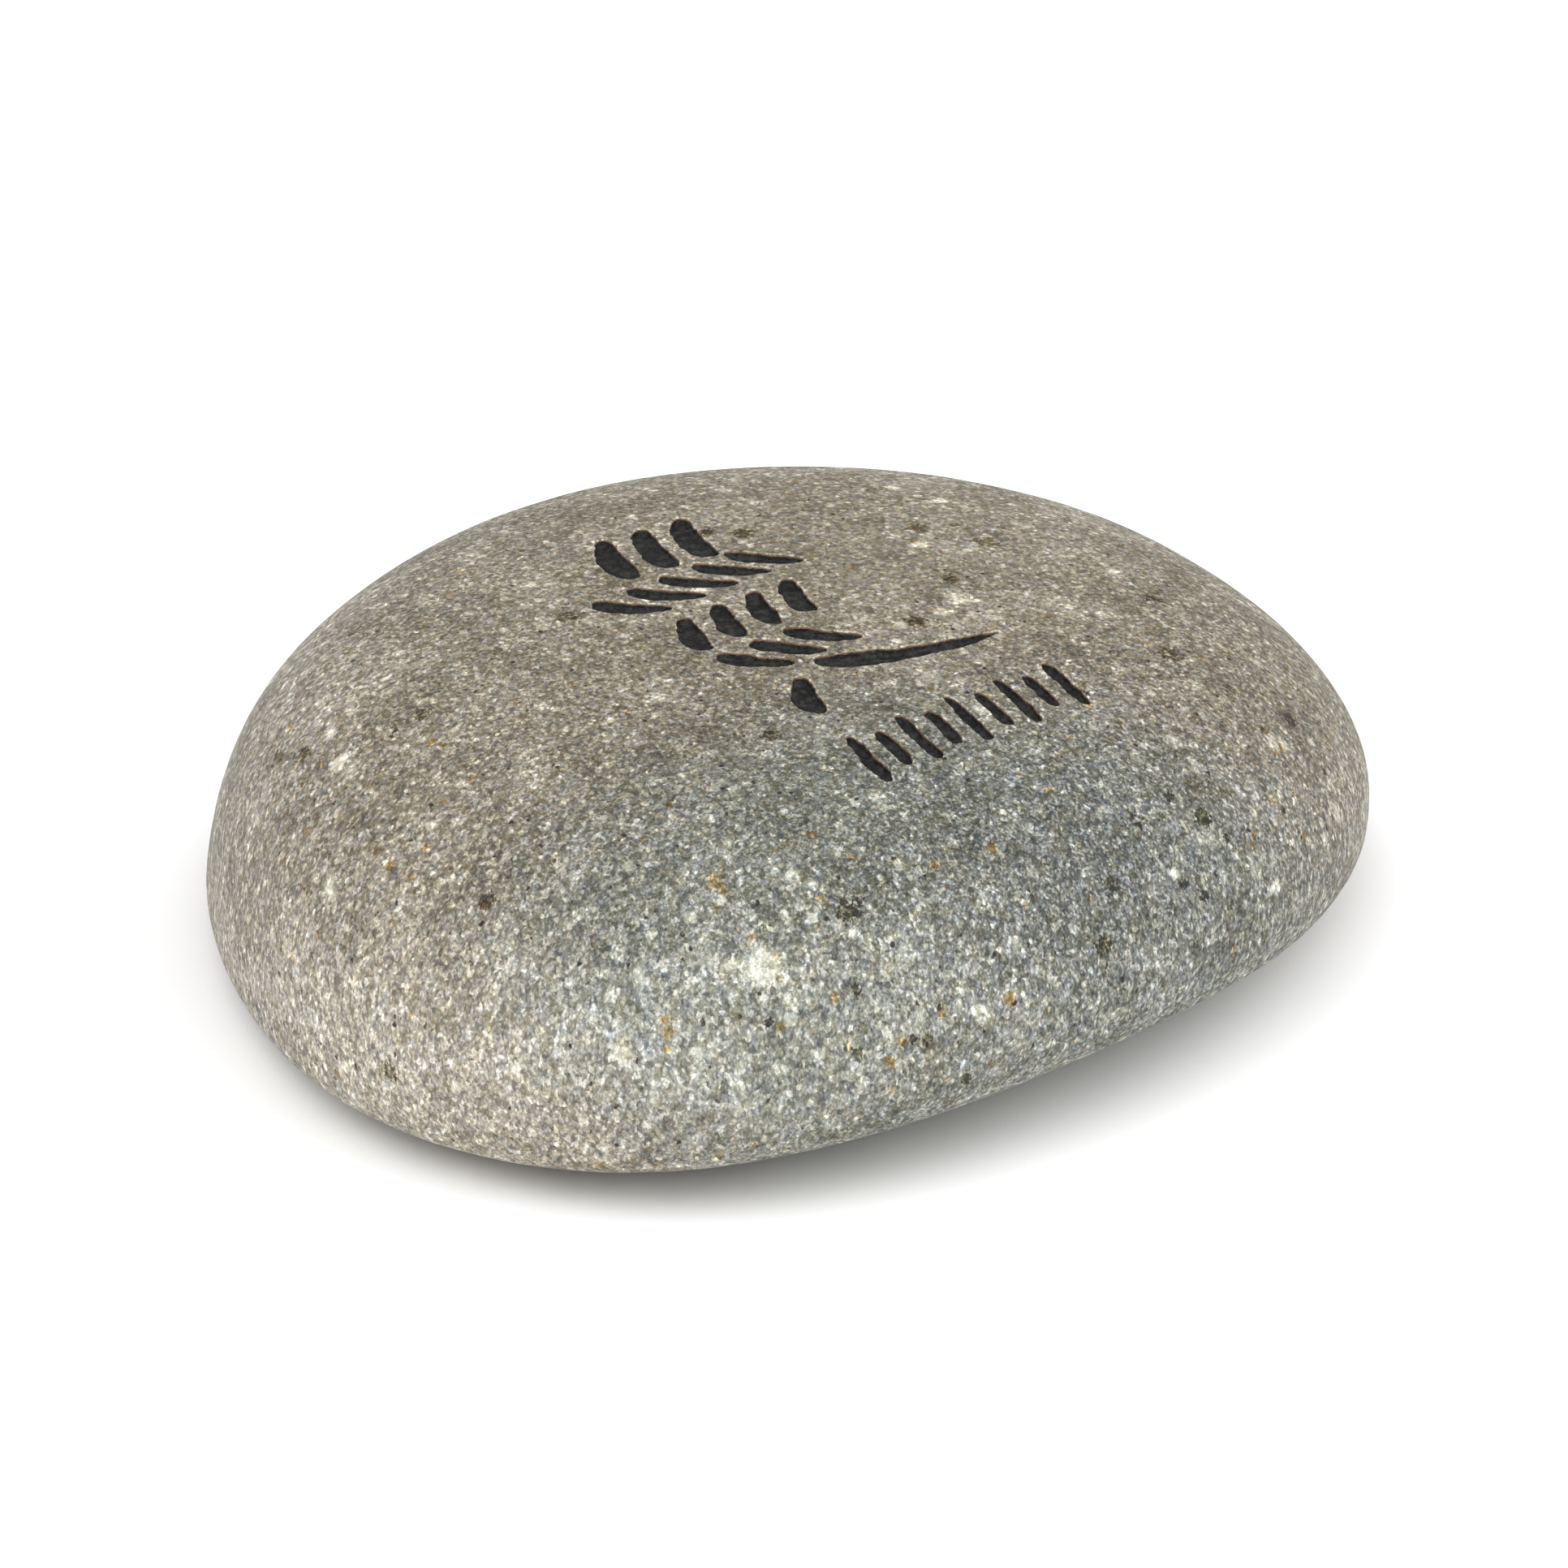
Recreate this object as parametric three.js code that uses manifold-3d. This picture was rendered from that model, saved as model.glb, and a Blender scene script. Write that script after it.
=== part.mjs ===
// A river pebble with rows of shallow brush strokes cut into its crown and filled with black.
// Millimetres, +Z up. The origin is on the resting plane, under the middle of the stone.
// +X runs along the rows of strokes and +Y from the short-stroke row up to the tall block.

import * as THREE from 'three';
import { mergeVertices } from 'three/addons/utils/BufferGeometryUtils.js';
import Module from 'manifold-3d';

// The stone's round form, before the river wore its flats
const HALF_LENGTH = 50.5;
const HALF_WIDTH = 46.8;
const CROWN_HEIGHT = 28.7;
const BELLY_DEPTH = 12;
const FULLNESS = 2.18;               // 2 is an ellipsoid, more is squarer
const TAPER = 0.07;                  // how much narrower the +X end is
const CROWN_LEAN = { x: -4.7, y: -6.5 };
const STONE_TURN = -9;               // degrees from the stone's long axis to the stroke rows
const MIDDLE_SHIFT = { x: -0.06, y: 0.15 };

// Worn flats: the way each one faces, its distance from the middle of the girdle,
// and half the height over which the round form fades into it
const WORN_FLATS = [
  { name: 'near flank, below the girdle', azimuth: -88, slope: -63, reach: 19.6, fade: 12.8 },
  { name: 'crown', azimuth: -34, slope: 86.5, reach: 26.1, fade: 9 },
  { name: 'far shoulder', azimuth: 111.5, slope: 27, reach: 43.2, fade: 17.8 },
  { name: 'far left edge', azimuth: 147.5, slope: 3, reach: 47.5, fade: 18 },
  { name: 'right end of the girdle', azimuth: -57, slope: -11, reach: 48.7, fade: 9 },
  { name: 'belly', azimuth: 0, slope: -90, reach: 5.7, fade: 5.6 },
];

// The true flat that the stone lies on, this far below the middle of the girdle
const REST_DEPTH = 5.65;

const FACES_PER_SIDE = 22;           // grid of each of the six sides of the cube it starts from

// The cut strokes
const CUT_DEPTH = 0.6;
const STROKE_STEPS = 7;              // spans from one end of a stroke to the other
const CUTTER_BOTTOM = 15;
const CUTTER_TOP = 40;
const SAME_CORNER = 0.0001;          // corners of a surface closer than this are one corner
const WELD_DISTANCE = 0.03;          // corners of the cut stone closer than this are made one

// Rows of strokes. x and y are the middle of a row's first stroke, lean is measured from +X,
// bow is the sag of its middle line as a share of its length, and taper thins the far end.
// uneven makes strokes longer and shorter by turns.
const STROKE_ROWS = [
  {
    name: 'tall block, first row', x: -8.2, y: 9.4, count: 3, pitch: 3.8, rise: -0.3,
    length: 8.6, weight: 2.6, lean: 66, bow: 0.06, taper: 0.35, bluntness: 3, uneven: 0,
  },
  {
    name: 'tall block, second row', x: -13.2, y: 1.5, count: 5, pitch: 3.6, rise: 0.1,
    length: 6.4, weight: 2.2, lean: -46, bow: -0.07, taper: 0.35, bluntness: 3, uneven: 0,
  },
  {
    name: 'tall block, third row', x: -12.6, y: -5.1, count: 4, pitch: 3.7, rise: 0.1,
    length: 6.2, weight: 2.2, lean: 66, bow: 0.06, taper: 0.35, bluntness: 3, uneven: 0,
  },
  {
    name: 'tall block, fourth row', x: -11.8, y: -11.5, count: 3, pitch: 3.6, rise: 0.1,
    length: 6.2, weight: 2.2, lean: -46, bow: -0.07, taper: 0.35, bluntness: 3, uneven: 0,
  },
  {
    name: 'long trailing stroke', x: -0.6, y: -17.2, count: 1, pitch: 0, rise: 0,
    length: 16.5, weight: 2.4, lean: -15, bow: -0.06, taper: 0.65, bluntness: 3, uneven: 0,
  },
  {
    name: 'dab under the block', x: -12.3, y: -17.9, count: 1, pitch: 0, rise: 0,
    length: 5.6, weight: 2.4, lean: 60, bow: 0.06, taper: 0.35, bluntness: 3, uneven: 0,
  },
  {
    name: 'short-stroke row', x: -14.4, y: -27.3, count: 9, pitch: 2.6, rise: 0,
    length: 5.6, weight: 1.35, lean: 80, bow: 0, taper: 0.3, bluntness: 3, uneven: 0.14,
  },
];

const STONE = new THREE.MeshStandardMaterial({ color: 0x96938a, roughness: 0.7, metalness: 0 });

const radians = THREE.MathUtils.degToRad;

function direction(azimuth, slope) {
  const level = Math.cos(radians(slope));
  return new THREE.Vector3(
    level * Math.cos(radians(azimuth)),
    level * Math.sin(radians(azimuth)),
    Math.sin(radians(slope)),
  );
}

// 0 below -1 and x above 1, with a smooth curve between them
function easedRamp(x) {
  if (x > 1) return x;
  const m = Math.max(x, -1);
  return (m + 1) ** 3 * (3 - m) / 16;
}

function pressFlat(point, facing, reach, fade) {
  const excess = fade * easedRamp((point.dot(facing) - reach) / fade);
  point.addScaledVector(facing, -excess);
}

// The point of the stone's skin that lies along a direction from its middle
function skinPoint(way) {
  const sum = ['x', 'y', 'z'].reduce((s, axis) => s + Math.abs(way[axis]) ** FULLNESS, 0);
  const unit = way.clone().multiplyScalar(sum ** (-1 / FULLNESS));
  const z = (unit.z > 0 ? CROWN_HEIGHT : BELLY_DEPTH) * unit.z;
  const x = HALF_LENGTH * unit.x + CROWN_LEAN.x * z / CROWN_HEIGHT;
  const y = HALF_WIDTH * unit.y * (1 - TAPER * unit.x) + CROWN_LEAN.y * z / CROWN_HEIGHT;
  const point = new THREE.Vector3(x, y, z);
  point.applyAxisAngle(new THREE.Vector3(0, 0, 1), radians(STONE_TURN));
  for (const flat of WORN_FLATS) {
    pressFlat(point, direction(flat.azimuth, flat.slope), flat.reach, flat.fade);
  }
  point.z = Math.max(point.z, -REST_DEPTH);
  return point.add(new THREE.Vector3(MIDDLE_SHIFT.x, MIDDLE_SHIFT.y, REST_DEPTH));
}

function bare(geometry) {
  geometry.deleteAttribute('normal');
  geometry.deleteAttribute('uv');
  return mergeVertices(geometry, SAME_CORNER);
}

// A cube's grid, bent so that its lines are evenly spaced on a sphere, then moved to the skin
function pebbleGeometry() {
  const geometry = bare(new THREE.BoxGeometry(2, 2, 2, FACES_PER_SIDE, FACES_PER_SIDE, FACES_PER_SIDE));
  const position = geometry.getAttribute('position');
  const way = new THREE.Vector3();
  for (let i = 0; i < position.count; i++) {
    way.fromBufferAttribute(position, i);
    way.set(...way.toArray().map((v) => Math.tan(v * Math.PI / 4))).normalize();
    position.setXYZ(i, ...skinPoint(way).toArray());
  }
  return geometry;
}

// The outline of one stroke: blunt where the brush lands, thinner where it lifts
function strokeShape(row, index) {
  const length = row.length * (1 + row.uneven * (index % 2 === 0 ? 1 : -1));
  const along = new THREE.Vector2(Math.cos(radians(row.lean)), Math.sin(radians(row.lean)));
  const across = new THREE.Vector2(-along.y, along.x);
  const middle = new THREE.Vector2(row.x + index * row.pitch, row.y + index * row.rise);
  const left = [];
  const right = [];
  for (let k = 0; k <= STROKE_STEPS; k++) {
    const s = (1 - Math.cos(Math.PI * k / STROKE_STEPS)) / 2;
    const r = 2 * s - 1;
    const centre = middle.clone()
      .addScaledVector(along, r * length / 2)
      .addScaledVector(across, row.bow * length * (1 / 3 - r * r));
    const round = Math.max(0, 1 - Math.abs(r) ** row.bluntness) ** (1 / row.bluntness);
    const half = row.weight / 2 * round * (1 - row.taper * s) / (1 - row.taper / 3);
    left.push(centre.clone().addScaledVector(across, half));
    right.push(centre.clone().addScaledVector(across, -half));
  }
  return new THREE.Shape([...left, ...right.slice(1, -1).reverse()]);
}

function strokeCutters() {
  const shapes = [];
  for (const row of STROKE_ROWS) {
    for (let i = 0; i < row.count; i++) {
      shapes.push(strokeShape(row, i));
    }
  }
  return shapes.map((shape) => {
    const prism = new THREE.ExtrudeGeometry(shape, {
      depth: CUTTER_TOP - CUTTER_BOTTOM,
      bevelEnabled: false,
    });
    return bare(prism.translate(0, 0, CUTTER_BOTTOM));
  });
}

const wasm = await Module();
wasm.setup();

function toSolid(geometry) {
  return new wasm.Manifold(new wasm.Mesh({
    numProp: 3,
    vertProperties: new Float32Array(geometry.getAttribute('position').array),
    triVerts: new Uint32Array(geometry.index.array),
  }));
}

// Welds the close corners that cutting leaves, and drops the triangles that this closes up
function toGeometry(solid) {
  const mesh = solid.getMesh();
  const cut = new THREE.BufferGeometry();
  cut.setAttribute('position', new THREE.BufferAttribute(mesh.vertProperties, 3));
  cut.setIndex(new THREE.BufferAttribute(mesh.triVerts, 1));
  const geometry = mergeVertices(cut, WELD_DISTANCE);
  const corners = Array.from(geometry.index.array);
  const kept = [];
  for (let i = 0; i < corners.length; i += 3) {
    const [a, b, c] = corners.slice(i, i + 3);
    if (a !== b && b !== c && c !== a) kept.push(a, b, c);
  }
  geometry.setIndex(kept);
  geometry.computeVertexNormals();
  return geometry;
}

// The strokes are cut to one depth below the skin all over, so their floors follow the crown
function engravedPebble() {
  const skin = pebbleGeometry();
  const floorSolid = toSolid(skin.clone().translate(0, 0, -CUT_DEPTH));
  let stone = toSolid(skin);
  for (const cutter of strokeCutters()) {
    stone = stone.subtract(toSolid(cutter).subtract(floorSolid));
  }
  return toGeometry(stone);
}

const pebble = new THREE.Mesh(engravedPebble(), STONE);
pebble.name = 'river_pebble';

const object = new THREE.Group();
object.add(pebble);

export default object;
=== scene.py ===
import math

import bpy
import numpy as np
from mathutils import Matrix, Vector, noise
from mathutils.bvhtree import BVHTree
from mathutils.geometry import delaunay_2d_cdt


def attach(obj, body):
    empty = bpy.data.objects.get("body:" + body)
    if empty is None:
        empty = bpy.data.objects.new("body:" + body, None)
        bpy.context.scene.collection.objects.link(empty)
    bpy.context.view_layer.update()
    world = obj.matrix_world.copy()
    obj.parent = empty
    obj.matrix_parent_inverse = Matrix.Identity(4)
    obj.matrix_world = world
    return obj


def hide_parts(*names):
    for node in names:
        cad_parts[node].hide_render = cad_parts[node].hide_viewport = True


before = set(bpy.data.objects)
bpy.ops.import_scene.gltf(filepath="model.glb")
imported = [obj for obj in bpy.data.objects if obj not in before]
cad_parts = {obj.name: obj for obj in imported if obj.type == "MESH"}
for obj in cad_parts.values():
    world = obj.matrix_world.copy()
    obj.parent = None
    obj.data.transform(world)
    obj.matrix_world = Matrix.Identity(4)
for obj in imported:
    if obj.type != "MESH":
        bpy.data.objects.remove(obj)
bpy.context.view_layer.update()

MM = 0.001
DEGREE = math.pi / 180

# The worn stone's form, as the solid has it, in millimetres and degrees
HALF_LENGTH = 50.5
HALF_WIDTH = 46.8
CROWN_HEIGHT = 28.7
BELLY_DEPTH = 12
FULLNESS = 2.18
TAPER = 0.07
CROWN_LEAN = (-4.7, -6.5)
STONE_TURN = -9
REST_DEPTH = 5.65
MIDDLE = np.array([-0.06, 0.15, REST_DEPTH])
WORN_FLATS = {  # azimuth and slope it faces, reach from the middle, fade
    "near flank, below the girdle": (-88, -63, 19.6, 12.8),
    "crown": (-34, 86.5, 26.1, 9),
    "far shoulder": (111.5, 27, 43.2, 17.8),
    "far left edge": (147.5, 3, 47.5, 18),
    "right end of the girdle": (-57, -11, 48.7, 9),
    "belly": (0, -90, 5.7, 5.6),
}

# The cut strokes, as the solid has them: middle of the first one, count, pitch and rise from
# one to the next, length, weight, lean, bow, taper, bluntness, and unevenness of length
CUT_DEPTH = 0.6
STROKE_ROWS = {
    "tall block, first row": (-8.2, 9.4, 3, 3.8, -0.3, 8.6, 2.6, 66, 0.06, 0.35, 3, 0),
    "tall block, second row": (-13.2, 1.5, 5, 3.6, 0.1, 6.4, 2.2, -46, -0.07, 0.35, 3, 0),
    "tall block, third row": (-12.6, -5.1, 4, 3.7, 0.1, 6.2, 2.2, 66, 0.06, 0.35, 3, 0),
    "tall block, fourth row": (-11.8, -11.5, 3, 3.6, 0.1, 6.2, 2.2, -46, -0.07, 0.35, 3, 0),
    "long trailing stroke": (-0.6, -17.2, 1, 0, 0, 16.5, 2.4, -15, -0.06, 0.65, 3, 0),
    "dab under the block": (-12.3, -17.9, 1, 0, 0, 5.6, 2.4, 60, 0.06, 0.35, 3, 0),
    "short-stroke row": (-14.4, -27.3, 9, 2.6, 0, 5.6, 1.35, 80, 0, 0.3, 3, 0.14),
}

# The visible mesh
SIDE = 100                           # faces along each side of the cube that the skin grows from
PANEL_MARGIN = 2.5                   # the fine crown panel reaches this far past the strokes, mm
OUTLINE_STEP = 0.15                  # mm from point to point along a stroke's outline
OUTLINE_DRAFT = 720
RAGGED = ((0.2, 0.45), (0.13, 1.1), (0.09, 2.3))  # depth in mm and waves per mm of ragged edges
RINGS = (  # how far inside the outline, how much of the cut's depth, and whether it is bare rim
    (-0.05, 0.0, 1),
    (0.03, 0.14, 1),
    (0.1, 0.68, 0),
    (0.16, 0.94, 0),
    (0.25, 1.0, 0),
)
SKIN_RING = 0.13                     # loose points this far outside keep the rim's curl narrow
SKIN_RING_CLEARANCE = 0.078          # and this far at least from the rim
FLOOR_STEP = 0.34
FLOOR_INSET = 0.34
FLOOR_REACH = 0.92                   # how far the floor's points go along a stroke, of 1
FLOOR_SPREAD = 0.8                   # and across it
FLOOR_GRIT = (0.05, 0.5)             # depth and width
CLEARANCE = 0.42                     # mm between the skin's grid points and an outline
SEARCH_ROUNDS = 8                    # for the spot on the cube under a point of the plan
SEARCH_STEP = 0.01

# The skin's relief, all of it inward, in mm
LEAST_INSET = 0.02
SWELLS = ((0.1, 14.0), (0.05, 5.0), (0.025, 2.2))  # depth and width
DENT_COUNT = 260
DENT_SEED = 7
DENT_SIZES = (0.6, 1.9)
DENT_DEPTHS = (0.03, 0.13)
FOOT_HEIGHT = 1.5                    # below this the relief fades out, so that the stone lies flat

# Where in the noise each relief is taken from, so that no two are alike
SWELL_SHIFT = 3.1
RAGGED_SHIFT = 5
GRIT_SHIFT = 11

# The photograph's view: the camera looks at the stone's middle
PHOTO_SIZE = 1932
PHOTO_SCALE = 15.2                   # pixels a millimetre at the middle
PHOTO_MIDDLE = (945.1, 1046.7)       # the pixel where the middle falls
VIEW_AZIMUTH = -42
VIEW_ELEVATION = 28
VIEW_DISTANCE = 600
SENSOR = 36

# Zones of the stone by where they fall in the photograph: middle, half width and half height.
# They hold on the side that the photograph shows, from where the skin turns to the camera.
SEEN_EDGE = (-0.1, 0.25)
COOL_ZONE = (1150, 1170, 560, 330)
COOL_EDGE = (0.62, 1.22)             # where the cool zone starts to fade, and where it ends
BLUE_ZONE = (1330, 1060, 230, 190)
TONE_AND_PAINTED_SHADE_ZONES = (  # and how much paler they make it: partly the stone's own tone, partly painted light and shade
    (560, 1330, 260, 170, 0.13),
    (340, 1190, 120, 90, 0.07),
    (850, 680, 200, 70, -0.03),
    (1400, 1220, 150, 120, -0.03),
    (960, 1290, 180, 110, 0.04),
    (1000, 960, 560, 230, -0.055),
    (1310, 1050, 200, 110, -0.055),
    (1290, 1240, 110, 90, 0.03),
    (850, 1380, 110, 70, 0.03),
    (970, 1270, 90, 70, 0.02),
    (1480, 880, 120, 90, -0.035),
    (1090, 990, 110, 70, -0.03),
)
GRAIN_ZONES = (  # and how much stronger the finest grain is
    (1080, 640, 420, 190, -0.5),
    (360, 960, 200, 220, -0.12),
    (1310, 1080, 330, 230, 0.36),
    (900, 1300, 330, 150, -0.1),
)

# Single marks that the photograph shows, by pixel, with their radius in mm
MARKS = {
    "white": (
        (940, 1192, 1.9), (901, 1189, 0.7), (977, 1079, 0.7), (851, 1130, 0.6), (966, 1127, 0.5),
        (1001, 1131, 0.5), (1052, 1150, 0.6), (974, 1257, 0.6), (1210, 1250, 0.9), (765, 1300, 0.9),
        (1572, 1092, 0.8), (1647, 1002, 0.9), (1614, 914, 0.5), (1447, 1077, 0.6), (1582, 917, 0.6),
        (417, 942, 1.0), (406, 905, 0.7), (405, 1090, 0.7), (1135, 671, 0.8), (1182, 737, 1.2),
        (1160, 617, 0.7), (1100, 601, 0.8), (1160, 754, 0.8), (1110, 770, 0.7),
    ),
    "pale": (
        (1116, 1173, 0.8), (1094, 1195, 0.7), (1009, 1299, 0.6), (961, 1318, 0.7), (1248, 1167, 0.9),
        (858, 1296, 0.6), (1547, 1073, 0.8), (1474, 947, 0.8), (1443, 912, 0.9), (1569, 915, 0.8),
    ),
    "rust": (
        (880, 1085, 0.8), (891, 1097, 0.4), (1245, 1230, 0.7), (821, 1257, 0.5), (823, 1272, 0.6),
        (1097, 1308, 0.6), (1112, 1283, 0.5), (735, 1434, 0.7), (1222, 1045, 0.5), (1029, 1229, 0.4),
        (962, 1265, 0.4), (1010, 1107, 0.35), (1546, 1030, 0.4), (1544, 1042, 0.4), (1607, 1030, 0.5),
        (480, 1067, 0.5), (356, 897, 0.4), (1572, 927, 0.35), (532, 914, 0.5), (823, 1293, 0.4),
        (1150, 1066, 0.5), (1663, 1057, 0.4), (1160, 1249, 0.35),
    ),
    "dark": (
        (1045, 1122, 1.1), (342, 934, 0.9), (520, 880, 0.8), (1132, 651, 1.0), (1175, 647, 0.5),
        (1170, 714, 1.0), (1482, 1007, 1.0), (1510, 1032, 0.5), (1457, 1087, 0.6), (1484, 1104, 0.6),
        (1559, 899, 0.6), (1590, 887, 0.8), (600, 1110, 0.8), (480, 1320, 0.9), (1360, 1165, 0.9),
        (870, 655, 0.8), (1141, 1280, 0.6), (1056, 1299, 0.6), (1191, 1330, 0.6), (1441, 981, 0.6),
        (1056, 1220, 0.5), (1676, 944, 0.5), (950, 905, 0.9), (1330, 860, 0.8),
    ),
    "black": (
        (1125, 1280, 0.4), (1156, 1242, 0.3), (1250, 1236, 0.3), (1487, 1012, 0.4), (1057, 1126, 0.4),
        (961, 1206, 0.35), (946, 1260, 0.4), (1632, 951, 0.4), (487, 900, 0.3), (1601, 1024, 0.3),
    ),
}

# The stone's colour as a display shows it: how bright, how much redder than green, and how much
# less blue. Each kind of grain, cluster and patch adds its own share to the three.
DISPLAY_POWER = 2.2
DARKEST = 0.1
STONE_TONE = 0.453
GRAIN_SKEW = 0.6                     # how much further the pale grains stray than the dark ones
RIM_HIGHLIGHT_LEVELS = (0.35, 0.6, 0, 0.13)    # fuzz from and to, and how much paler the painted highlight makes a bare rim there
COOL = (-0.003, 0.038)
WARM = (0.027, 0.055)
BLUE = (-0.004, -0.014)
GRAINS = {
    "pale": (0.19, 0.0, 0.012),
    "white": (0.25, 0.0, 0.02),
    "rust": (-0.06, 0.085, 0.14),
    "dark": (-0.21, 0.01, 0.045),
    "black": (-0.32, 0.03, 0.02),
}

# The grain all over the stone. It lies in a bedding that is tilted and drawn out upwards.
BEDDING_TILT = (8 * DEGREE, -10 * DEGREE, 0)
BEDDING_STRETCH = (1, 1, 0.66)
DRIFT = (1.9, 0.3)                   # waves a mm, and how many mm the grain strays by
NOISES = {  # waves a mm, detail, roughness, warp, and whether it lies in the bedding
    "patch": (0.14, 1, 0.5, 0, False),
    "clump": (0.75, 2, 0.6, 0.6, False),
    "hue": (1.3, 2, 0.7, 0, True),
    "fuzz": (2.6, 3, 0.75, 0, True),
    "green": (5.0, 1, 0.5, 0, False),
    "grit": (5.5, 1, 0.5, 0, True),
}
LATHS_PER_MM = 1.9
LATH_SHARE = (0.62, 0.72)            # the cells' numbers at which laths start and are whole
LATH_REACH = (0.44, 0.30)
CRYSTALS_PER_MM = 3.1
SPARKLE_SHARE = (0.82, 1.0)
FLECKS_PER_MM = 5.4
FLECK_LEVELS = (0.5, 1.0, 0.3, 1.0)  # a cell's number from and to, and the fleck's value there
COARSE_WEIGHTS = {"crystal": 0.20, "clump": 0.32, "patch": 0.20}
FINE_WEIGHTS = {"fuzz": 0.52, "grit": 0.34, "fleck": 0.22}
ADDED_WEIGHTS = {"sparkle": 0.14, "lath": 0.13}
RED_WEIGHTS = {"hue": 0.07, "green": 0.08}
YELLOW_WEIGHTS = {"hue": 0.18}
STONE_ROUGHNESS = (0.3, 0.7, 0.68, 0.5)  # tone from and to, and the roughness there
CRYSTAL_RELIEF = 0.15                # of the fine grain's
STONE_BUMP = (0.9, 0.2 * MM)         # strength and depth

# Scattered grains: cells a mm, and for two kinds each the share of the cells that hold one and
# its reach in cells
SCATTERED = (
    (0.62, ("pale", 0.42, 0.25), ("rust", 0.07, 0.17)),
    (1.35, ("pale", 0.34, 0.29), ("black", 0.09, 0.22)),
    (0.9, ("white", 0.06, 0.22), ("rust", 0.10, 0.17)),
    (0.19, ("dark", 0.14, 0.17), ("white", 0.16, 0.15)),
)
WHOLE_SHARE = 0.6                    # of those cells, as many hold a grain at full strength
EDGE_SOFTNESS = 0.15                 # of a grain's reach
EDGE_RAGGEDNESS = 0.6
MARK_RAGGEDNESS = {"fuzz": 2.2, "grit": 0.9}
MARK_EDGE = (0.08, 0.3)
RUST_LEVELS = (0.3, 0.5, 0.6, 1.25)  # fleck from and to, and the rust's strength there

# The black paint in the strokes
PAINT = (0.007, 0.007, 0.0072)
# grey mottles of the paint: partly uneven paint, partly a painted sheen on the rough floor
PAINT_MOTTLE_AND_SHEEN = (0.034, 0.033, 0.031)
THIN_PAINT = (0.2, 0.115, 0.065)
MOTTLES = (1.3, 4.0, 0.75)           # waves a mm, detail and roughness
MOTTLE_AND_SHEEN_LEVELS = (0.42, 0.66)
THIN_LEVELS = (0.55, 0.4)            # the shares of the cut's depth at which the paint gets thin
THIN_UNEVENNESS = (2.5, 0.3)         # waves a mm and amount
PAINT_GLOSS = 0.25
PAINT_ROUGHNESS = (0.35, 0.7, 0.55, 0.7)  # mottle from and to, and the roughness there
PAINT_GRIT = (4.0, 2.0, 0.6)
PAINT_BUMP = (0.8, 0.25 * MM)

# The studio, in metres
FLOOR_HALF = 3.0
FLOOR_WHITE = 0.93
FLOOR_MATT = 0.9
CLIP = (0.01, 10)
SOFT_LOBES = (  # broad soft lights: azimuth from the camera to its right, slope and strength
    (225, 8, 1.95),
    (0, 52, 1.3),
    (45, 34, 1.15),
    (90, 40, 3.0),
    (315, 52, 3.2),
    (0, 90, 0.8),
)
LOBE_POWER = 8


def direction(azimuth, slope=0):
    level = math.cos(slope * DEGREE)
    return np.array([
        level * math.cos(azimuth * DEGREE),
        level * math.sin(azimuth * DEGREE),
        math.sin(slope * DEGREE),
    ])


def view_axes():
    """The photograph's view: the ways back to the camera, to its right and up."""
    back = direction(VIEW_AZIMUTH - 90, VIEW_ELEVATION)
    right = direction(VIEW_AZIMUTH)
    return back, right, np.cross(back, right)


def photo_pixels(points):
    """Where points of the stone, in mm, fall in the photograph."""
    back, right, up = view_axes()
    away = points - MIDDLE
    scale = PHOTO_SCALE * VIEW_DISTANCE / (VIEW_DISTANCE - away @ back)
    return PHOTO_MIDDLE[0] + scale * (away @ right), PHOTO_MIDDLE[1] - scale * (away @ up)


def smooth_rise(x, low, high):
    t = np.clip((x - low) / (high - low), 0, 1)
    return t * t * (3 - 2 * t)


def eased_ramp(x):
    """0 below -1 and x above 1, with a smooth curve between them."""
    m = np.clip(x, -1, 1)
    return np.where(x > 1, x, (m + 1) ** 3 * (3 - m) / 16)


def skin(ways):
    """The points of the worn stone's skin along unit directions from its middle, in mm."""
    size = (np.abs(ways) ** FULLNESS).sum(axis=1) ** (-1 / FULLNESS)
    unit = ways * size[:, None]
    z = np.where(unit[:, 2] > 0, CROWN_HEIGHT, BELLY_DEPTH) * unit[:, 2]
    x = HALF_LENGTH * unit[:, 0] + CROWN_LEAN[0] * z / CROWN_HEIGHT
    y = HALF_WIDTH * unit[:, 1] * (1 - TAPER * unit[:, 0]) + CROWN_LEAN[1] * z / CROWN_HEIGHT
    turned = Matrix.Rotation(STONE_TURN * DEGREE, 3, "Z")
    points = np.stack([x, y, z], axis=1) @ np.array(turned).T
    for azimuth, slope, reach, fade in WORN_FLATS.values():
        facing = direction(azimuth, slope)
        excess = fade * eased_ramp((points @ facing - reach) / fade)
        points -= excess[:, None] * facing
    points[:, 2] = np.maximum(points[:, 2], -REST_DEPTH)
    return points + MIDDLE


def outward(points):
    """Roughly which way the skin faces at points of it."""
    radii = np.array([HALF_LENGTH, HALF_WIDTH, (CROWN_HEIGHT + BELLY_DEPTH) / 2])
    ways = (points - MIDDLE) / radii ** 2
    return ways / np.linalg.norm(ways, axis=1)[:, None]


def noise_at(points, width, shift=0):
    """Smooth noise of about -1 to 1, with swells about width wide."""
    offset = Vector((shift, -shift, 2 * shift))
    return np.array([noise.noise(Vector(p) / width + offset) for p in points])


def ways_on_cube(lattice):
    """Unit directions through points of the cube's surface, given on a lattice from 0 to SIDE."""
    bent = np.tan((2 * lattice / SIDE - 1) * math.pi / 4)
    return bent / np.linalg.norm(bent, axis=1)[:, None]


def crown(spots):
    """The skin over spots of the cube's upper side."""
    upper = np.full((len(spots), 1), SIDE, float)
    return skin(ways_on_cube(np.hstack([spots, upper])))


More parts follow.
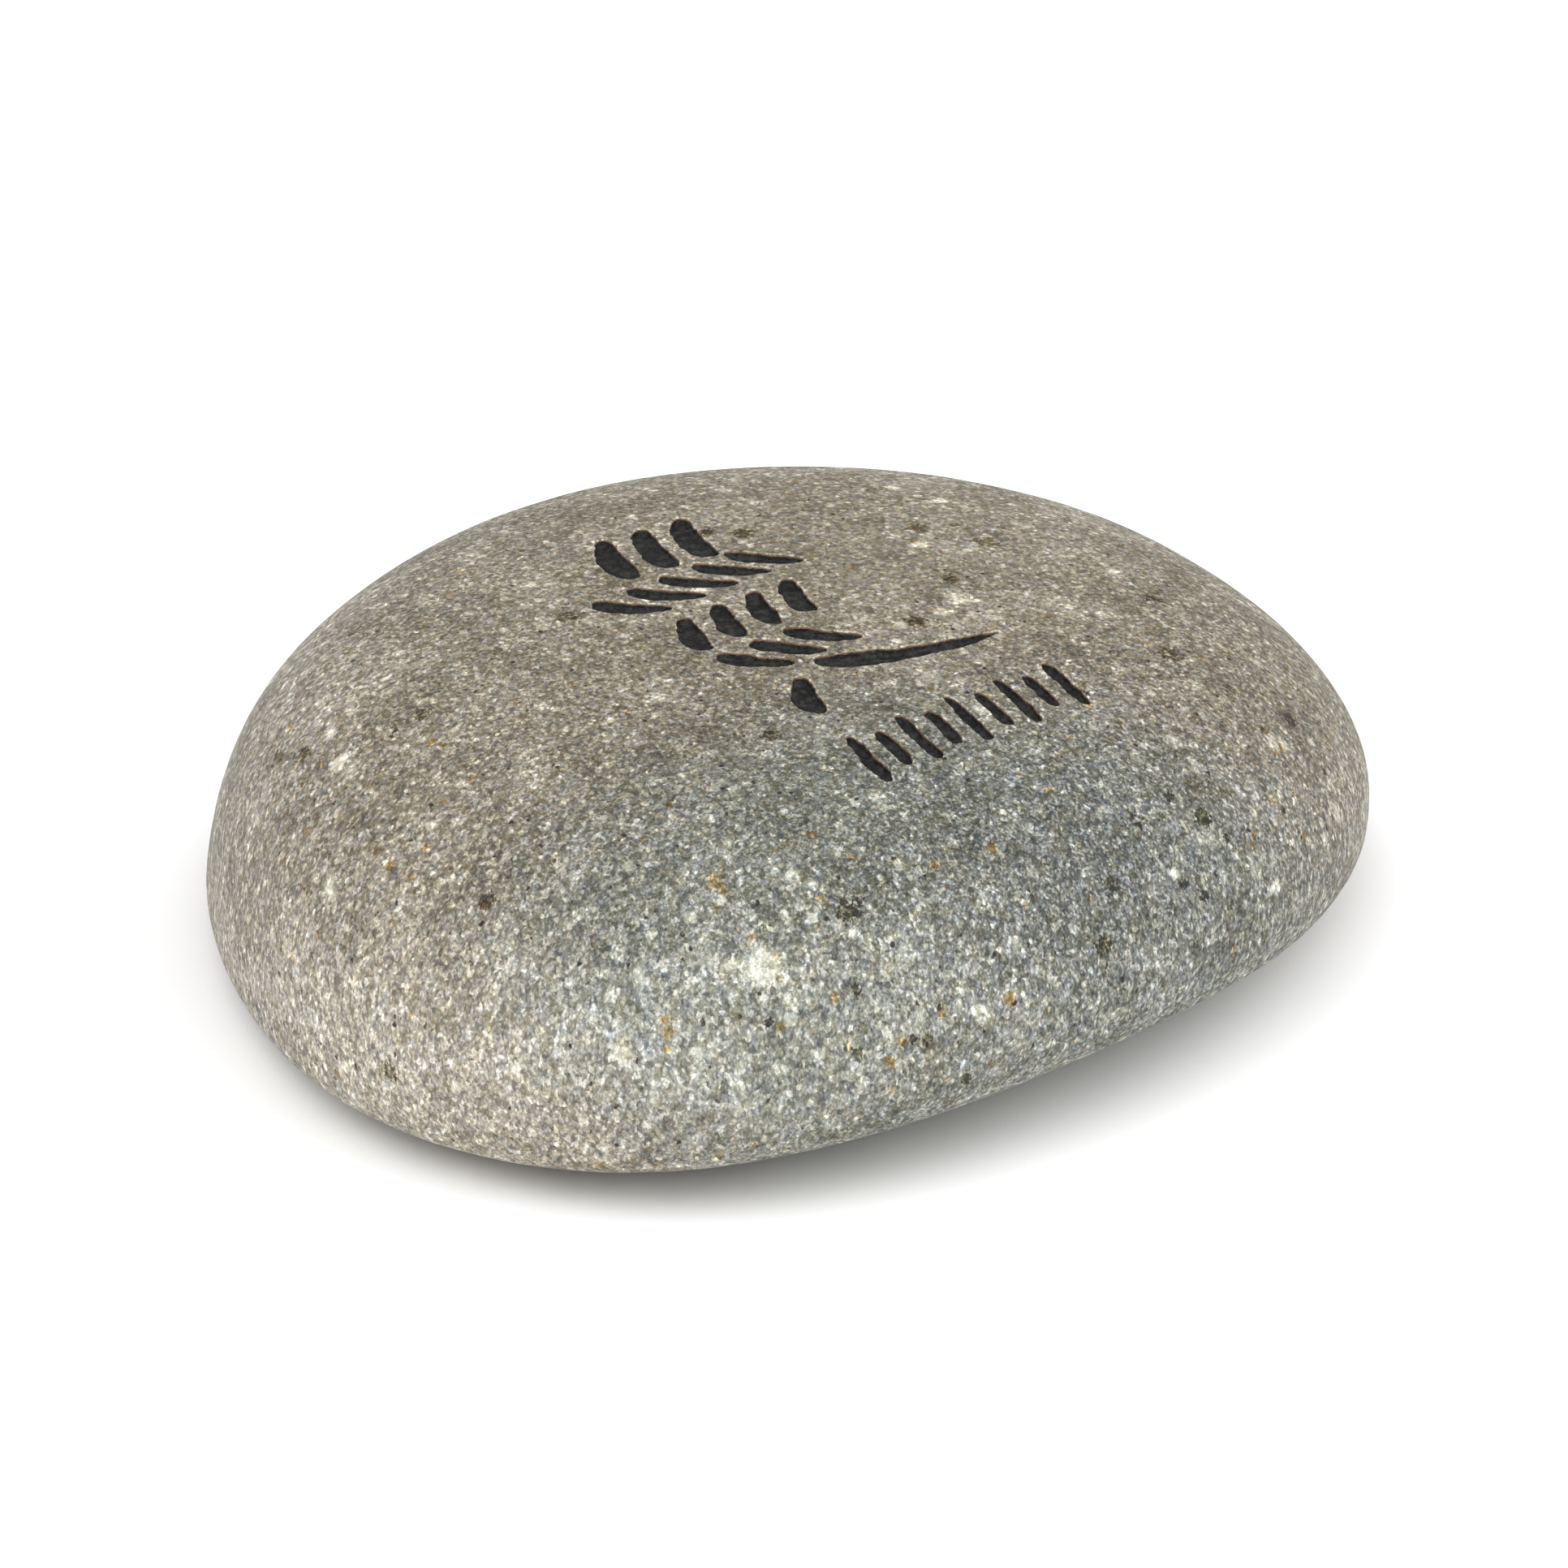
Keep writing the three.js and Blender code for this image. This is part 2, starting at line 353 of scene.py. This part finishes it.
def crown_spots(plan):
    """The spots of the cube's upper side whose skin lies over points of the plan."""
    spots = np.full(plan.shape, SIDE / 2)
    for _ in range(SEARCH_ROUNDS):
        here = crown(spots)[:, :2]
        across = (crown(spots + [SEARCH_STEP, 0])[:, :2] - here) / SEARCH_STEP
        along = (crown(spots + [0, SEARCH_STEP])[:, :2] - here) / SEARCH_STEP
        miss = plan - here
        area = across[:, 0] * along[:, 1] - across[:, 1] * along[:, 0]
        move_x = (miss[:, 0] * along[:, 1] - miss[:, 1] * along[:, 0]) / area
        move_y = (across[:, 0] * miss[:, 1] - across[:, 1] * miss[:, 0]) / area
        spots = spots + np.stack([move_x, move_y], axis=1)
    return spots


def relieved(points):
    """Skin points pressed in by the skin's low swells and small dents."""
    depth = np.full(len(points), LEAST_INSET)
    for number, (amount, width) in enumerate(SWELLS):
        depth += amount * (0.5 + 0.5 * noise_at(points, width, SWELL_SHIFT * number))
    rng = np.random.default_rng(DENT_SEED)
    for _ in range(DENT_COUNT):
        way = rng.normal(size=3)
        centre = skin((way / np.linalg.norm(way))[None])[0]
        radius = rng.uniform(*DENT_SIZES)
        amount = rng.uniform(*DENT_DEPTHS)
        near = 1 - ((points - centre) ** 2).sum(axis=1) / radius ** 2
        depth += amount * np.clip(near, 0, 1) ** 2
    depth *= np.clip(points[:, 2] / FOOT_HEIGHT, 0, 1)
    return points - depth[:, None] * outward(points)


# Strokes in the plan

def stroke_points(row, index, r, side, inset):
    """Points of one stroke: r runs from -1 to 1 along it, and side from -1 to 1 across it."""
    x, y, _, pitch, rise, length, weight, lean, bow, taper, _, uneven = row
    length *= 1 + uneven * (1 if index % 2 == 0 else -1)
    along = direction(lean)[:2]
    across = np.array([-along[1], along[0]])
    r = r * (1 - 2 * inset / length)
    shape = (1 - taper * (r + 1) / 2) / (1 - taper / 3)
    half = np.maximum(weight / 2 * shape - inset, 0)
    sag = bow * length * (1 / 3 - r * r)
    middle = np.array([x + index * pitch, y + index * rise])
    return middle + (r * length / 2)[:, None] * along + (sag + side * half)[:, None] * across


def even_steps(outline, step):
    """A closed outline with its points at even steps."""
    closed = np.vstack([outline, outline[:1]])
    travel = np.concatenate([[0], np.cumsum(np.linalg.norm(np.diff(closed, axis=0), axis=1))])
    count = round(travel[-1] / step)
    stops = np.linspace(0, travel[-1], count, endpoint=False)
    return np.stack([np.interp(stops, travel, closed[:, k]) for k in (0, 1)], axis=1)


def ragged(outline):
    """The outline with the small unevenness of a blasted edge."""
    tangent = np.roll(outline, -1, axis=0) - np.roll(outline, 1, axis=0)
    normal = np.stack([tangent[:, 1], -tangent[:, 0]], axis=1)
    normal /= np.linalg.norm(normal, axis=1)[:, None]
    flat = np.hstack([outline, np.zeros((len(outline), 1))])
    for number, (amount, waves) in enumerate(RAGGED):
        push = amount * noise_at(flat, 1 / waves, RAGGED_SHIFT + number)
        outline = outline + push[:, None] * normal
    return outline


def stroke_outline(row, index, inset):
    turn = np.linspace(0, 2 * math.pi, OUTLINE_DRAFT, endpoint=False)
    power = 2 / row[10]
    r = -np.sign(np.cos(turn)) * np.abs(np.cos(turn)) ** power
    side = -np.sign(np.sin(turn)) * np.abs(np.sin(turn)) ** power
    return ragged(even_steps(stroke_points(row, index, r, side, inset), OUTLINE_STEP))


def stroke_floor(row, index):
    """Points over a stroke's floor, inside its rings."""
    length, weight, bluntness = row[5], row[6], row[10]
    rows = max(2, round(weight / FLOOR_STEP))
    spots = []
    for r in np.linspace(-FLOOR_REACH, FLOOR_REACH, round(length / FLOOR_STEP)):
        spread = FLOOR_SPREAD * (1 - abs(r) ** bluntness) ** (1 / bluntness)
        spots += [(r, side) for side in np.linspace(-spread, spread, rows)]
    r, side = np.array(spots).T
    return stroke_points(row, index, r, side, FLOOR_INSET)


def all_strokes():
    """Every stroke's plan points, their share of the cut's depth, bareness, and the ring edges."""
    plan, depth, bare, edges = [], [], [], []
    for row in STROKE_ROWS.values():
        for index in range(row[2]):
            for inset, share, bareness in RINGS:
                ring = stroke_outline(row, index, inset)
                first = len(plan)
                plan += list(ring)
                depth += [share] * len(ring)
                bare += [bareness] * len(ring)
                edges += [(first + k, first + (k + 1) % len(ring)) for k in range(len(ring))]
            floor = stroke_floor(row, index)
            plan += list(floor)
            depth += [1.0] * len(floor)
            bare += [0] * len(floor)
    return np.array(plan), np.array(depth), np.array(bare, float), edges


def far_from(points, others, clearance):
    """True for each point that keeps clear of all the others."""
    return np.array([((others - p) ** 2).sum(axis=1).min() > clearance ** 2 for p in points])


def skin_ring_points(plan, depth):
    """Loose points on the skin just outside the strokes."""
    loose = []
    rim = plan[depth == RINGS[0][1]]
    for row in STROKE_ROWS.values():
        for index in range(row[2]):
            loose += list(stroke_outline(row, index, -SKIN_RING))
    loose = np.array(loose)
    return loose[far_from(loose, rim, SKIN_RING_CLEARANCE)]


# The mesh

def cube_quads():
    """The lattice points of the cube's surface, each once, and the quads of its six sides."""
    steps = np.arange(SIDE + 1)
    lattice, quads = [], []
    for axis in range(3):
        for outer in (0, SIDE):
            first = sum(len(points) for points in lattice)
            u, v = np.meshgrid(steps, steps, indexing="ij")
            points = np.zeros((u.size, 3), int)
            points[:, axis] = outer
            points[:, (axis + 1) % 3] = u.ravel()
            points[:, (axis + 2) % 3] = v.ravel()
            lattice.append(points)
            corner = first + (u[:-1, :-1] * (SIDE + 1) + v[:-1, :-1]).ravel()
            ring = [corner, corner + SIDE + 1, corner + SIDE + 2, corner + 1]
            quads.append(np.stack(ring if outer else ring[::-1], axis=1))
    lattice, same = np.unique(np.vstack(lattice), axis=0, return_inverse=True)
    return lattice, same.ravel()[np.vstack(quads)]


def stone_mesh():
    """The whole stone: the skin's grid, with the crown panel that holds the strokes let into it."""
    lattice, quads = cube_quads()
    plan, share, bare, edges = all_strokes()
    loose = skin_ring_points(plan, share)
    spots = crown_spots(np.vstack([plan, loose]))
    share = np.concatenate([share, np.zeros(len(loose))])
    bare = np.concatenate([np.zeros(len(lattice)), bare, np.zeros(len(loose))])
    margin = PANEL_MARGIN * SIDE / (2 * HALF_WIDTH)
    low = np.floor(spots.min(axis=0) - margin).astype(int)
    high = np.ceil(spots.max(axis=0) + margin).astype(int)

    upper = lattice[:, 2] == SIDE
    in_panel = upper & (lattice[:, :2] >= low).all(axis=1) & (lattice[:, :2] <= high).all(axis=1)
    quads = quads[~in_panel[quads].all(axis=1)]
    at_edge = in_panel & ((lattice[:, :2] == low).any(axis=1) | (lattice[:, :2] == high).any(axis=1))
    inner = np.flatnonzero(in_panel & ~at_edge)
    lattice_to_mm = 2 * HALF_WIDTH * math.pi / 4 / SIDE
    clear = far_from(lattice[inner][:, :2], spots, CLEARANCE / lattice_to_mm)
    used = np.concatenate([np.flatnonzero(at_edge), inner[clear]])

    flat = np.vstack([lattice[used][:, :2], spots])
    numbers = np.concatenate([used, len(lattice) + np.arange(len(spots))])
    edges = [(a + len(used), b + len(used)) for a, b in edges]
    found = delaunay_2d_cdt([Vector(p) for p in flat.tolist()], edges, [], 0, 1e-6)
    origin = [ids[0] if ids else None for ids in found[3]]
    if None in origin:
        raise RuntimeError("two stroke outlines cross")
    triangles = numbers[np.array([[origin[k] for k in face] for face in found[2]])]

    points = relieved(np.vstack([skin(ways_on_cube(lattice.astype(float))), crown(spots)]))
    share = np.concatenate([np.zeros(len(lattice)), share])
    grit = FLOOR_GRIT[0] * noise_at(points, FLOOR_GRIT[1], GRIT_SHIFT) * (share == 1)
    points[:, 2] -= CUT_DEPTH * share - grit

    kept, same = np.unique(np.concatenate([quads.ravel(), triangles.ravel()]), return_inverse=True)
    quads = same[:quads.size].reshape(quads.shape)
    triangles = same[quads.size:].reshape(triangles.shape)
    return points[kept], share[kept], bare[kept], quads, triangles


def faces_camera(points):
    return smooth_rise(outward(points) @ view_axes()[0], *SEEN_EDGE)


def zone_shifts(points):
    """How much the stone's zones change its tone and hue at points of it; the tone zones carry painted
    light and shade as well as the stone's own tone.
    """
    x, y = photo_pixels(points)
    seen = faces_camera(points)
    from_cool = np.hypot((x - COOL_ZONE[0]) / COOL_ZONE[2], (y - COOL_ZONE[1]) / COOL_ZONE[3])
    warmth = 1 - (1 - smooth_rise(from_cool, *COOL_EDGE)) * seen
    blueness = bump_over(x, y, *BLUE_ZONE) * seen
    return {
        "redder": COOL[0] + warmth * (WARM[0] - COOL[0]) + blueness * BLUE[0],
        "less_blue": COOL[1] + warmth * (WARM[1] - COOL[1]) + blueness * BLUE[1],
        "tone_and_painted_light": sum_over(x, y, TONE_AND_PAINTED_SHADE_ZONES) * seen,
        "fineness": 1 + sum_over(x, y, GRAIN_ZONES) * seen,
    }


def bump_over(x, y, middle_x, middle_y, width, height):
    return np.exp(-((x - middle_x) / width) ** 2 - ((y - middle_y) / height) ** 2)


def sum_over(x, y, zones):
    return sum(amount * bump_over(x, y, *zone) for *zone, amount in zones)


def mark_spots(points, faces):
    """The points on the stone under the marks, by kind, each with its radius, in mm."""
    back, right, up = view_axes()
    eye = MIDDLE + back * VIEW_DISTANCE
    tree = BVHTree.FromPolygons(points.tolist(), faces)
    found = {}
    for kind, marks in MARKS.items():
        found[kind] = []
        for x, y, radius in marks:
            across = (x - PHOTO_MIDDLE[0]) / PHOTO_SCALE
            above = (PHOTO_MIDDLE[1] - y) / PHOTO_SCALE
            way = across * right + above * up - back * VIEW_DISTANCE
            spot = tree.ray_cast(Vector(eye), Vector(way))[0]
            if spot is not None:
                found[kind].append((spot, radius))
    return found


def build_stone():
    points, share, bare, quads, triangles = stone_mesh()
    mesh = bpy.data.meshes.new("engraved_stone")
    mesh.from_pydata((points * MM).tolist(), [], quads.tolist() + triangles.tolist())
    painted = (share[triangles] > 0).all(axis=1)
    slots = np.concatenate([np.zeros(len(quads), int), painted.astype(int)])
    mesh.polygons.foreach_set("material_index", slots)
    mesh.polygons.foreach_set("use_smooth", np.ones(len(slots), bool))
    fields = {"cut_share": share, "bare_rim": bare, **zone_shifts(points)}
    for name, values in fields.items():
        field = mesh.attributes.new(name, "FLOAT", "POINT")
        field.data.foreach_set("value", values.astype(np.float32))
    mesh.update()
    stone = bpy.data.objects.new("engraved_stone", mesh)
    bpy.context.scene.collection.objects.link(stone)
    return stone, mark_spots(points, quads.tolist() + triangles.tolist())


# Materials

class Shading:
    """A material's nodes, added and joined one after another."""

    def __init__(self, name):
        self.material = bpy.data.materials.new(name)
        self.material.use_nodes = True
        self.tree = self.material.node_tree
        self.tree.nodes.clear()
        self.surface = self.add("ShaderNodeBsdfPrincipled")
        output = self.add("ShaderNodeOutputMaterial")
        self.tree.links.new(self.surface.outputs[0], output.inputs[0])

    def add(self, kind, inputs=(), **settings):
        node = self.tree.nodes.new(kind)
        for name, value in settings.items():
            setattr(node, name, value)
        for name, value in dict(inputs).items():
            self.join(node.inputs[name], value)
        return node

    def join(self, socket, value):
        if isinstance(value, bpy.types.NodeSocket):
            self.tree.links.new(value, socket)
        else:
            socket.default_value = value

    def maths(self, operation, a, b):
        return self.add("ShaderNodeMath", {0: a, 1: b}, operation=operation).outputs[0]

    def vectors(self, operation, inputs):
        return self.add("ShaderNodeVectorMath", inputs, operation=operation).outputs

    def total(self, first, *others):
        for value in others:
            first = self.maths("ADD", first, value)
        return first

    def rise(self, value, low, high, start=0.0, end=1.0):
        """start below low and end above high, with a smooth curve between them."""
        inputs = {"Value": value, "From Min": low, "From Max": high, "To Min": start, "To Max": end}
        return self.add("ShaderNodeMapRange", inputs, interpolation_type="SMOOTHSTEP").outputs[0]

    def blend(self, share, a, b):
        node = self.add("ShaderNodeMix", data_type="RGBA")
        for socket, value in ((node.inputs[0], share), (node.inputs[6], a), (node.inputs[7], b)):
            self.join(socket, value)
        return node.outputs[2]

    def weigh(self, values, weights, middle=0.0):
        """middle, plus what each weighed value of 0 to 1 adds around its own middle."""
        for name, weight in weights.items():
            moved = self.maths("SUBTRACT", values[name], 0.5)
            middle = self.maths("ADD", middle, self.maths("MULTIPLY", moved, weight))
        return middle

    def shown(self, value):
        """The light value of one channel for what a display shows."""
        return self.maths("POWER", self.maths("MAXIMUM", value, DARKEST), DISPLAY_POWER)

    def noise(self, vector, waves, detail=2.0, rough=0.5, warp=0.0):
        inputs = {"Vector": vector, "Scale": waves, "Detail": detail}
        inputs.update({"Roughness": rough, "Distortion": warp})
        return self.add("ShaderNodeTexNoise", inputs).outputs[0]

    def cells(self, vector, per_mm):
        """Grains: how far a point is from its grain's middle, and two random numbers for the grain."""
        node = self.add("ShaderNodeTexVoronoi", {"Vector": vector, "Scale": per_mm})
        numbers = self.add("ShaderNodeSeparateColor", {0: node.outputs["Color"]}).outputs
        return node.outputs["Distance"], numbers[0], numbers[1]

    def place(self, stretch=(1, 1, 1), tilt=(0, 0, 0)):
        """Object coordinates in mm, tilted and stretched."""
        where = self.add("ShaderNodeTexCoord").outputs["Object"]
        inputs = {"Vector": where, "Rotation": tilt, "Scale": [k / MM for k in stretch]}
        return self.add("ShaderNodeMapping", inputs).outputs[0]

    def attribute(self, name):
        return self.add("ShaderNodeAttribute", attribute_name=name).outputs["Fac"]

    def finish(self, colour, roughness, height, strength, depth):
        """Join the colour, the roughness and a bump of that depth in metres to the surface."""
        inputs = {"Height": height, "Strength": strength, "Distance": depth}
        bump = self.add("ShaderNodeBump", inputs).outputs[0]
        for name, value in (("Base Color", colour), ("Roughness", roughness), ("Normal", bump)):
            self.join(self.surface.inputs[name], value)
        return self.material


def rgb(r, g, b):
    return (r, g, b, 1)


def drifted(look, plain, bedded):
    """The bedding's coordinates, strayed here and there so that no grain is quite straight."""
    waves, reach = DRIFT
    inputs = {"Vector": plain, "Scale": waves, "Detail": 1.0}
    stray = look.add("ShaderNodeTexNoise", inputs).outputs["Color"]
    stray = look.vectors("SUBTRACT", {0: stray, 1: (0.5, 0.5, 0.5)})[0]
    stray = look.vectors("SCALE", {0: stray, "Scale": reach})[0]
    return look.vectors("ADD", {0: bedded, 1: stray})[0]


def stone_grain(look, plain, bedded, strayed):
    """The stone's grain by name, each a value of 0 to 1."""
    grain = {}
    for name, (waves, detail, rough, warp, in_bedding) in NOISES.items():
        grain[name] = look.noise(bedded if in_bedding else plain, waves, detail, rough, warp)
    _, grain["crystal"], glint = look.cells(strayed, CRYSTALS_PER_MM)
    grain["sparkle"] = look.rise(glint, *SPARKLE_SHARE)
    _, fleck, _ = look.cells(strayed, FLECKS_PER_MM)
    grain["fleck"] = look.rise(fleck, *FLECK_LEVELS)
    far, number, _ = look.cells(strayed, LATHS_PER_MM)
    broken = look.maths("ADD", far, look.weigh(grain, {"fuzz": 1.0}))
    there = look.rise(number, *LATH_SHARE)
    grain["lath"] = look.maths("MULTIPLY", there, look.rise(broken, *LATH_REACH))
    return grain


def scattered_masks(look, strayed, grain):
    """Where the scattered grains of each kind are, from 0 to 1."""
    masks = {kind: 0.0 for kind in GRAINS}
    rough_edge = look.weigh(grain, {"fuzz": EDGE_RAGGEDNESS})
    for per_mm, *kinds in SCATTERED:
        far, number, _ = look.cells(strayed, per_mm)
        broken = look.maths("ADD", far, rough_edge)
        ends = (look.maths("SUBTRACT", 1.0, number), number)
        for end, (kind, share, reach) in zip(ends, kinds):
            there = look.rise(end, share, WHOLE_SHARE * share)
            edge = reach * EDGE_SOFTNESS
            spot = look.maths("MULTIPLY", there, look.rise(broken, reach + edge, reach - edge))
            masks[kind] = look.maths("MAXIMUM", masks[kind], spot)
    return masks


def mark_mask(look, plain, spots, grain):
    """Where the single marks of one kind are, from 0 to 1."""
    inside = -1.0
    for spot, radius in spots:
        far = look.vectors("DISTANCE", {0: plain, 1: spot})["Value"]
        near = look.maths("SUBTRACT", 1.0, look.maths("DIVIDE", far, radius))
        inside = look.maths("MAXIMUM", inside, near)
    broken = look.maths("SUBTRACT", inside, look.weigh(grain, MARK_RAGGEDNESS))
    return look.rise(broken, *MARK_EDGE)


def stone_material(marks):
    look = Shading("worn_volcanic_stone")
    plain = look.place()
    bedded = look.place(BEDDING_STRETCH, BEDDING_TILT)
    strayed = drifted(look, plain, bedded)
    grain = stone_grain(look, plain, bedded, strayed)
    masks = scattered_masks(look, strayed, grain)
    for kind, spots in marks.items():
        mask = mark_mask(look, plain, spots, grain)
        if kind == "rust":
            mask = look.maths("MULTIPLY", mask, look.rise(grain["fleck"], *RUST_LEVELS))
        masks[kind] = look.maths("MAXIMUM", masks[kind], mask)

    fineness = look.attribute("fineness")
    # a painted highlight along the bare rims of the strokes
    rim_highlight = look.rise(grain["fuzz"], *RIM_HIGHLIGHT_LEVELS)
    tone = look.total(
        look.weigh(grain, COARSE_WEIGHTS, STONE_TONE),
        look.maths("MULTIPLY", fineness, look.weigh(grain, FINE_WEIGHTS)),
        *(look.maths("MULTIPLY", grain[name], weight) for name, weight in ADDED_WEIGHTS.items()),
        # the stone's own tone zones, with painted light and shade in them
        look.attribute("tone_and_painted_light"),
        look.maths("MULTIPLY", look.attribute("bare_rim"), rim_highlight),
    )
    above = look.maths("SUBTRACT", tone, STONE_TONE)
    skew = look.maths("MULTIPLY", look.maths("MULTIPLY", above, above), GRAIN_SKEW)
    tone = look.maths("ADD", tone, skew)
    redder = look.maths("ADD", look.attribute("redder"), look.weigh(grain, RED_WEIGHTS))
    less_blue = look.maths("ADD", look.attribute("less_blue"), look.weigh(grain, YELLOW_WEIGHTS))
    for kind, (added_tone, added_red, added_yellow) in GRAINS.items():
        tone = look.maths("ADD", tone, look.maths("MULTIPLY", masks[kind], added_tone))
        redder = look.maths("ADD", redder, look.maths("MULTIPLY", masks[kind], added_red))
        less_blue = look.maths("ADD", less_blue, look.maths("MULTIPLY", masks[kind], added_yellow))

    colour = look.add("ShaderNodeCombineColor", {
        0: look.shown(look.maths("ADD", tone, redder)),
        1: look.shown(tone),
        2: look.shown(look.maths("SUBTRACT", tone, less_blue)),
    }).outputs[0]
    crystals = look.maths("MULTIPLY", grain["crystal"], CRYSTAL_RELIEF)
    height = look.maths("MULTIPLY", fineness, look.maths("ADD", grain["fuzz"], crystals))
    return look.finish(colour, look.rise(tone, *STONE_ROUGHNESS), height, *STONE_BUMP)


def paint_material():
    look = Shading("black_stroke_fill")
    plain = look.place()
    mottle = look.noise(plain, *MOTTLES)
    # grey mottles, partly uneven paint and partly a painted sheen
    colour = look.blend(look.rise(mottle, *MOTTLE_AND_SHEEN_LEVELS), rgb(*PAINT), rgb(*PAINT_MOTTLE_AND_SHEEN))
    waves, amount = THIN_UNEVENNESS
    uneven = look.maths("MULTIPLY", look.noise(plain, waves), amount)
    share = look.maths("ADD", look.attribute("cut_share"), uneven)
    colour = look.blend(look.rise(share, *THIN_LEVELS), colour, rgb(*THIN_PAINT))
    grit = look.noise(plain, *PAINT_GRIT)
    look.join(look.surface.inputs["Specular IOR Level"], PAINT_GLOSS)
    return look.finish(colour, look.rise(mottle, *PAINT_ROUGHNESS), grit, *PAINT_BUMP)


# Studio

def floor():
    mesh = bpy.data.meshes.new("floor")
    corners = [(-1, -1), (1, -1), (1, 1), (-1, 1)]
    points = [(x * FLOOR_HALF, y * FLOOR_HALF, 0) for x, y in corners]
    mesh.from_pydata(points, [], [(0, 1, 2, 3)])
    plane = bpy.data.objects.new("floor", mesh)
    bpy.context.scene.collection.objects.link(plane)
    look = Shading("white_floor")
    look.join(look.surface.inputs["Base Color"], rgb(FLOOR_WHITE, FLOOR_WHITE, FLOOR_WHITE))
    look.join(look.surface.inputs["Roughness"], FLOOR_MATT)
    look.join(look.surface.inputs["Specular IOR Level"], 0.0)
    mesh.materials.append(look.material)


def joined_maths(tree, operation, a, b):
    """A maths node of the world that takes a, and either a number or another node's output."""
    node = tree.nodes.new("ShaderNodeMath")
    node.operation = operation
    tree.links.new(a, node.inputs[0])
    if isinstance(b, bpy.types.NodeSocket):
        tree.links.new(b, node.inputs[1])
    else:
        node.inputs[1].default_value = b
    return node.outputs[0]


def studio():
    world = bpy.data.worlds.new("studio")
    bpy.context.scene.world = world
    world.use_nodes = True
    tree = world.node_tree
    way = tree.nodes.new("ShaderNodeTexCoord").outputs["Generated"]
    lobes = []
    for azimuth, slope, strength in SOFT_LOBES:
        facing = tree.nodes.new("ShaderNodeVectorMath")
        facing.operation = "DOT_PRODUCT"
        tree.links.new(way, facing.inputs[0])
        facing.inputs[1].default_value = direction(VIEW_AZIMUTH - 90 + azimuth, slope)
        lobe = joined_maths(tree, "MAXIMUM", facing.outputs["Value"], 0)
        lobe = joined_maths(tree, "POWER", lobe, LOBE_POWER)
        lobes.append(joined_maths(tree, "MULTIPLY", lobe, strength))
    total = lobes[0]
    for lobe in lobes[1:]:
        total = joined_maths(tree, "ADD", total, lobe)
    # A low view sees past the floor's edge: the room there is plain and pale
    room = tree.nodes.new("ShaderNodeMix")
    seen = tree.nodes.new("ShaderNodeLightPath").outputs["Is Camera Ray"]
    tree.links.new(seen, room.inputs["Factor"])
    tree.links.new(total, room.inputs["A"])
    room.inputs["B"].default_value = 1
    background = tree.nodes["Background"]
    background.inputs["Color"].default_value = rgb(1, 1, 1)
    tree.links.new(room.outputs["Result"], background.inputs["Strength"])
    bpy.context.scene.view_settings.view_transform = "Standard"


def camera():
    back = Vector(view_axes()[0])
    data = bpy.data.cameras.new("photo_view")
    data.sensor_width = SENSOR
    data.lens = SENSOR * PHOTO_SCALE * VIEW_DISTANCE / PHOTO_SIZE
    data.shift_x = (PHOTO_SIZE / 2 - PHOTO_MIDDLE[0]) / PHOTO_SIZE
    data.shift_y = (PHOTO_MIDDLE[1] - PHOTO_SIZE / 2) / PHOTO_SIZE
    data.clip_start, data.clip_end = CLIP
    eye = bpy.data.objects.new("photo_view", data)
    eye.location = Vector(MIDDLE) * MM + back * VIEW_DISTANCE * MM
    eye.rotation_mode = "QUATERNION"
    eye.rotation_quaternion = (-back).to_track_quat("-Z", "Y")
    bpy.context.scene.collection.objects.link(eye)
    bpy.context.scene.camera = eye


camera()
stone, marks = build_stone()
stone.data.materials.append(stone_material(marks))
stone.data.materials.append(paint_material())
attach(stone, "root")
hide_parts("river_pebble")
floor()
studio()
